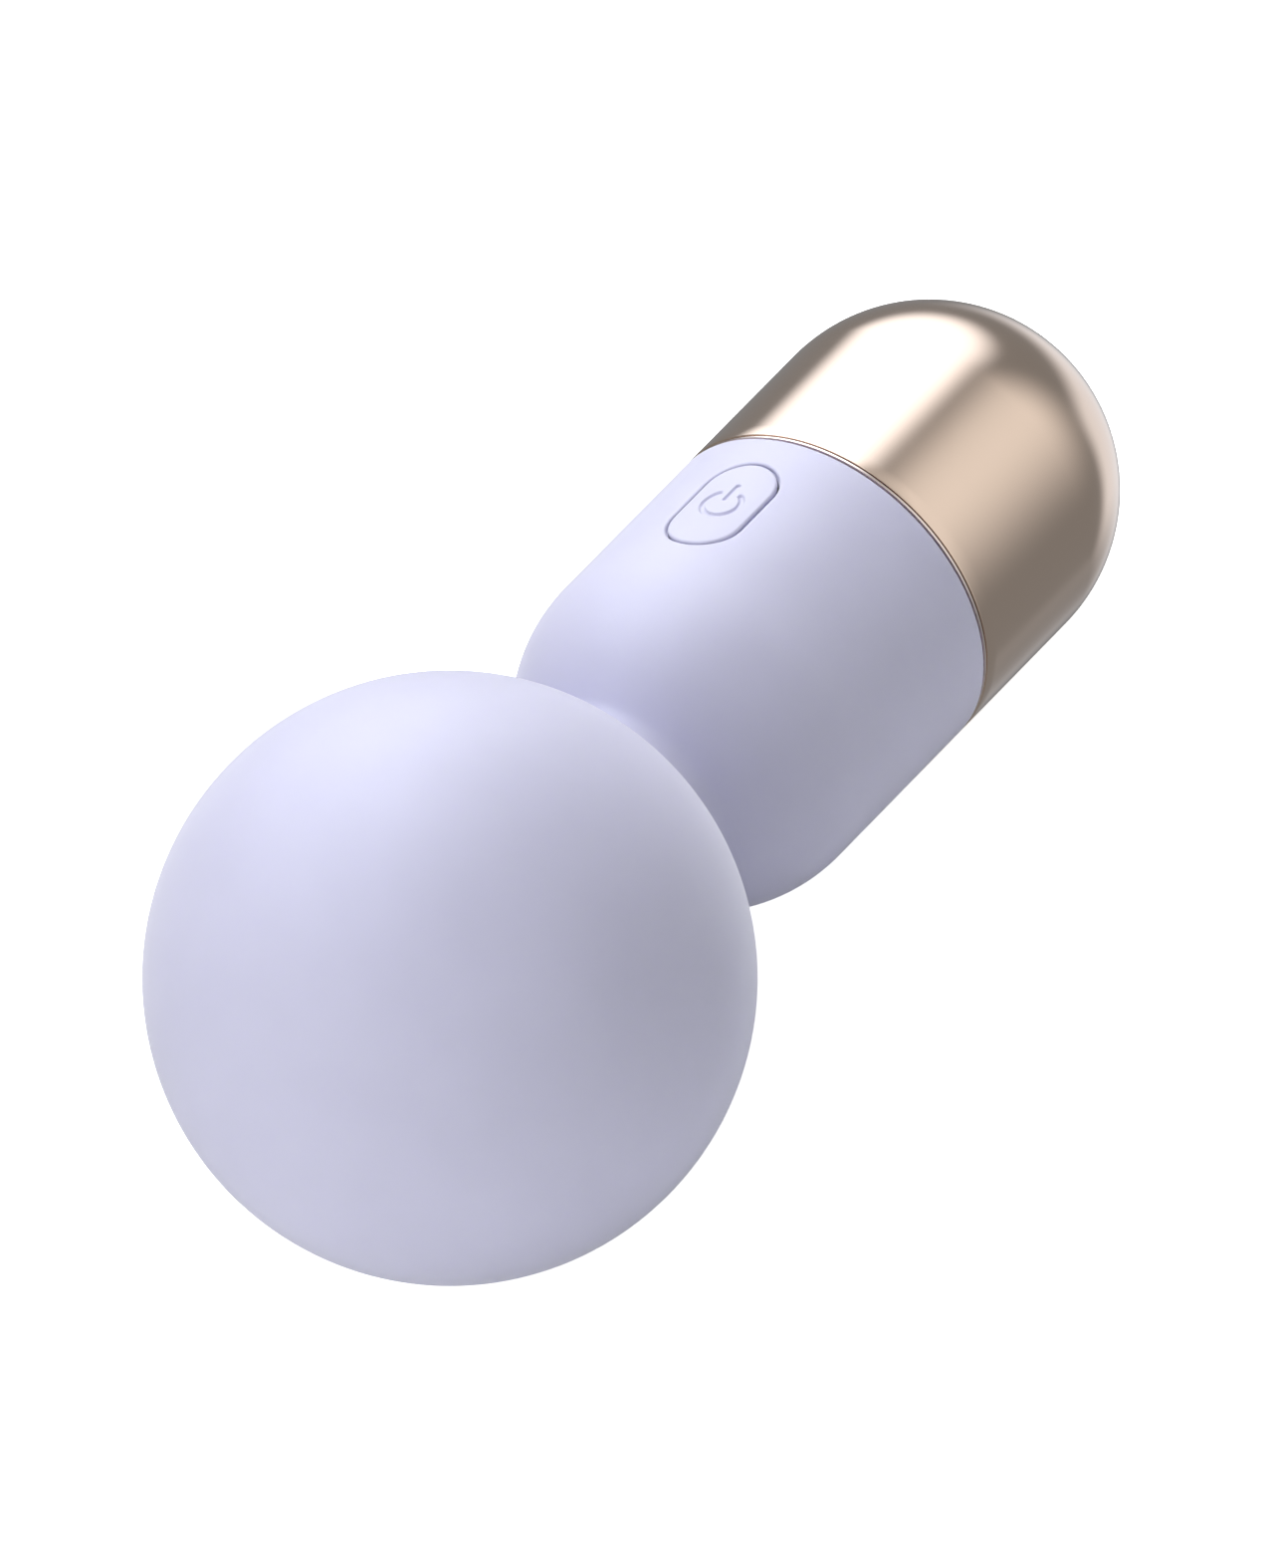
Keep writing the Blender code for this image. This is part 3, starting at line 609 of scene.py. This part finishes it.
def padOutline():
    # points of the outline, each as its place on the spine and its direction from there; the two
    # straight sides have the same steps, so that they meet along the spine
    half = pad["wide"] / 2
    run = pad["long"] / 2 - half
    points = []
    for side in (1, -1):
        steps = pad["straightSteps"]
        points += [(side * (run - 2 * run * i / steps), 0.0, side) for i in range(steps)]
        for i in range(pad["endSteps"]):
            a = math.pi * i / pad["endSteps"]
            points.append((-side * run, -side * math.sin(a), side * math.cos(a)))
    return points, half


def makePad():
    outline, half = padOutline()
    surface = wand["handleRadius"]
    bm = bmesh.new()

    def ring(inset, depth, marked=False):
        verts = []
        for spine, dp, dq in outline:
            p, q = spine + dp * (half - inset), dq * (half - inset)
            sunk = depth + (markDepth(p, q) if marked else 0.0)
            a = q / surface
            r = surface - sunk
            verts.append(bm.verts.new((r * math.cos(a), r * math.sin(a), button["along"] + p)))
        return verts

    lip = pad["lip"]
    rings = [ring(half, pad["depth"]), ring(half * 0.5, pad["depth"]), ring(pad["draft"], pad["depth"])]
    for i in range(6):
        t = math.pi / 2 * i / 5
        rings.append(ring(lip * (1 - math.cos(t)), lip * (1 - math.sin(t))))
    for i in range(1, pad["rings"] + 1):
        rings.append(ring(lip + (half - lip) * i / pad["rings"], 0.0, marked=True))
    for a, b in zip(rings, rings[1:]):
        for i in range(len(a)):
            j = (i + 1) % len(a)
            bm.faces.new((a[i], a[j], b[j], b[i]))
    bmesh.ops.remove_doubles(bm, verts=bm.verts, dist=0.002)
    return finishPiece("buttonPad", bm, buttonMaterial, "power_button", "button_pad")


makePad()

# the metal tail and the bright ring in the seam
cap = {"wall": 1.0, "lip": 0.1, "lipSteps": 3}
seamRing = {"inner": 15.85, "outer": 16.93, "round": 0.08, "width": 0.26}


def makeCap():
    outer, inner = wand["handleRadius"], wand["handleRadius"] - cap["wall"]
    edge = wand["seamAt"] - sleeve["ringWidth"] / 2 - sleeve["seamGap"]
    lip = cap["lip"]
    profile = arcPoints(outer, inner, 180, 90, 24) + [(inner, edge)]
    profile += arcPoints(edge - lip, lip, 0, 90, cap["lipSteps"], outer - lip)
    rows = 12
    profile += [(outer, outer + (edge - lip - outer) * (1 - i / rows)) for i in range(1, rows)]
    profile += arcPoints(outer, outer, 90, 180, 60)
    bm = meshAsBm(turnedMesh("metalTail", profile, capMaterial))
    return finishPiece("metalTail", bm, capMaterial, "root", "dome_cap")


def makeSeamRing():
    low = wand["seamAt"] - sleeve["ringWidth"] / 2
    high = low + seamRing["width"]
    bevel = seamRing["round"]
    out = seamRing["outer"] - bevel
    profile = [(seamRing["inner"], high)] + arcPoints(high - bevel, bevel, 0, 90, 3, out)
    profile += arcPoints(low + bevel, bevel, 90, 180, 3, out)
    profile += [(seamRing["inner"], low), (seamRing["inner"], high)]
    bm = meshAsBm(turnedMesh("seamRing", profile, edgeMaterial))
    return finishPiece("seamRing", bm, edgeMaterial, "root", "trim_ring")


makeCap()
makeSeamRing()

# pieces inside keep their own shape and get a real finish
slots = {part["node"]: part["material_slot"] for part in frame["record"]["subparts"]}
made = {}
for nodeName, obj in frame["nodes"].items():
    slotName = slots[nodeName]
    if slotName in insideFinishes:
        if slotName not in made:
            made[slotName] = insideMaterial(slotName)
        obj.data.materials.clear()
        obj.data.materials.append(made[slotName])
print(len(made), "inside finishes")

# studio: a pale table, six softboxes, and a room of diffusers and cards that only shiny surfaces see
studio = {
    "floorHex": "#F7F7F7",
    "floorGlow": 0.85,  # white sweep, as the eye sees it
    "room": 0.05,  # light that the room gives to matt surfaces
    "walls": 0.27,  # how bright the room's walls look in the metal
    "wallHex": "#F6FAFF",
    "softboxes": {
        "key": {
            "azimuth": 25, "elevation": 42, "distance": 0.8,
            "size": (0.56, 0.8), "watts": 5.3,
        },
        "leftFill": {
            "azimuth": 136, "elevation": 27, "distance": 0.9,
            "size": (0.8, 0.8), "watts": 1.8,
        },
        "overhead": {
            "azimuth": 60, "elevation": 82, "distance": 0.9,
            "size": (0.6, 0.6), "watts": 4.0,
        },
        "rightRim": {
            "azimuth": 20, "elevation": 12, "distance": 0.9,
            "size": (0.5, 0.5), "watts": 1.3,
        },
        "farLeft": {
            "azimuth": 180, "elevation": 20, "distance": 0.9,
            "size": (0.6, 0.6), "watts": 3.2,
        },
        "frontLeft": {
            "azimuth": -115, "elevation": 30, "distance": 0.9,
            "size": (0.6, 0.6), "watts": 0.8,
        },
    },
    # what shiny surfaces see, as angles: round diffusers overhead, full to "half" and faded over "soft"
    "diffusers": {
        "right": {
            "azimuth": 34, "elevation": 41, "half": 22, "soft": 19,
            "bright": 1.8, "hex": "#EDF4FF",
        },
        "middle": {
            "azimuth": 60, "elevation": 60, "half": 22, "soft": 19,
            "bright": 1.0, "hex": "#EDF4FF",
        },
        "behind": {
            "azimuth": 105, "elevation": 70, "half": 25, "soft": 14,
            "bright": 1.8, "hex": "#EDF4FF",
        },
    },
    # and upright cards, each faded at its sides, its foot and its top
    "cards": {
        "front": {
            "azimuth": -98, "half": 54, "soft": 34,
            "foot": (-34, 20), "top": (32, 64),
            "bright": 0.7, "hex": "#FFFFFF",
        },
        "rightLow": {
            "azimuth": 6, "half": 12, "soft": 20,
            "foot": (-62, -40), "top": (-22, -5),
            "bright": 0.8, "hex": "#EAF0FA",
        },
        "ceiling": {
            "azimuth": -98, "half": 80, "soft": 60,
            "foot": (36, 60), "top": (89, 90),
            "bright": 0.26, "hex": "#FFFFFF",
        },
    },
}


def directionTo(azimuth, elevation):
    a, e = math.radians(azimuth), math.radians(elevation)
    return Vector((math.cos(a) * math.cos(e), math.sin(a) * math.cos(e), math.sin(e)))


def addSoftbox(name, setup):
    data = bpy.data.lights.new(name, "AREA")
    data.shape = "RECTANGLE"
    data.size, data.size_y = setup["size"]
    data.energy = setup["watts"]
    light = bpy.data.objects.new(name, data)
    bpy.context.scene.collection.objects.link(light)
    towards = directionTo(setup["azimuth"], setup["elevation"])
    light.location = towards * setup["distance"]
    light.rotation_euler = towards.to_track_quat("Z", "Y").to_euler()
    light.visible_camera = False
    light.visible_glossy = False


def fade(tree, value, dark, full):
    # a soft step between two values
    inputs = {"Value": value, "From Min": dark, "From Max": full}
    step = addNode(tree, "ShaderNodeMapRange", {"interpolation_type": "SMOOTHSTEP"}, inputs)
    return step.outputs["Result"]


def facing(tree, direction, aim):
    dot = addNode(tree, "ShaderNodeVectorMath", {"operation": "DOT_PRODUCT"}, {0: direction, 1: aim})
    return dot.outputs["Value"]


def added(tree, lit, share, bright, hexCode):
    # one more light on top of what is lit already
    colour = Vector(linearColour(hexCode)[:3]) * bright
    inputs = {0: share, 1: colour, 2: lit}
    return addNode(tree, "ShaderNodeVectorMath", {"operation": "MULTIPLY_ADD"}, inputs).outputs[0]


def shinyRoom(tree):
    # brightness by direction, as a mirror would show it
    looking = addNode(tree, "ShaderNodeTexCoord").outputs["Generated"]
    height = facing(tree, looking, (0, 0, 1))
    flat = addNode(tree, "ShaderNodeVectorMath", {"operation": "MULTIPLY"}, {0: looking, 1: (1, 1, 0)})
    unit = addNode(tree, "ShaderNodeVectorMath", {"operation": "NORMALIZE"}, {0: flat.outputs[0]})
    level = unit.outputs[0]
    lit = Vector(linearColour(studio["wallHex"])[:3]) * studio["walls"]
    for box in studio["diffusers"].values():
        middle = facing(tree, looking, directionTo(box["azimuth"], box["elevation"]))
        edges = (math.cos(math.radians(angle)) for angle in (box["half"] + box["soft"], box["half"]))
        lit = added(tree, lit, fade(tree, middle, *edges), box["bright"], box["hex"])
    for card in studio["cards"].values():
        across = facing(tree, level, directionTo(card["azimuth"], 0))
        edges = (math.cos(math.radians(angle)) for angle in (card["half"] + card["soft"], card["half"]))
        shown = fade(tree, across, *edges)
        foot = [math.sin(math.radians(angle)) for angle in card["foot"]]
        top = [math.sin(math.radians(angle)) for angle in reversed(card["top"])]
        shown = calculate(tree, "MULTIPLY", shown, fade(tree, height, *foot))
        shown = calculate(tree, "MULTIPLY", shown, fade(tree, height, *top))
        lit = added(tree, lit, shown, card["bright"], card["hex"])
    return lit


def addRoom():
    # the room is white to the eye, and darker with a diffuser and cards to anything shiny
    world = bpy.data.worlds.new("studio")
    bpy.context.scene.world = world
    world.use_nodes = True
    tree = world.node_tree
    tree.nodes.clear()
    shiny = shinyRoom(tree)
    path = addNode(tree, "ShaderNodeLightPath")
    white = linearColour("#FFFFFF")
    matt = tuple(channel * studio["room"] for channel in white[:3]) + (1.0,)
    lit = addNode(
        tree,
        "ShaderNodeMix",
        {"data_type": "RGBA"},
        {"Factor": path.outputs["Is Glossy Ray"], 6: matt, 7: shiny},
    )
    lit = addNode(
        tree,
        "ShaderNodeMix",
        {"data_type": "RGBA"},
        {"Factor": path.outputs["Is Camera Ray"], 6: lit.outputs[2], 7: white},
    )
    light = addNode(tree, "ShaderNodeBackground", inputs={"Color": lit.outputs[2], "Strength": 1.0})
    addNode(tree, "ShaderNodeOutputWorld", inputs={"Surface": light.outputs[0]})


def addTable():
    bm = bmesh.new()
    bmesh.ops.create_grid(bm, x_segments=1, y_segments=1, size=4.0)
    mesh = bpy.data.meshes.new("tableTop")
    bm.to_mesh(mesh)
    bm.free()
    floor = bpy.data.objects.new("tableTop", mesh)
    bpy.context.scene.collection.objects.link(floor)
    mat, tree, shader = newMaterial(
        "matWhiteLaminate",
        {
            "Base Color": linearColour(studio["floorHex"]),
            "Roughness": 0.9,
            "Specular IOR Level": 0.0,
            "Emission Color": linearColour("#FFFFFF"),
        },
    )
    path = addNode(tree, "ShaderNodeLightPath")
    glow = addNode(
        tree,
        "ShaderNodeMapRange",
        inputs={"Value": path.outputs["Is Camera Ray"], "To Max": studio["floorGlow"]},
    )
    tree.links.new(glow.outputs["Result"], shader.inputs["Emission Strength"])
    mesh.materials.append(mat)
    floor.visible_glossy = False


for softboxName, softboxSetup in studio["softboxes"].items():
    addSoftbox(softboxName, softboxSetup)
addRoom()
addTable()
bpy.context.scene.view_settings.view_transform = "Standard"
print("studio set")
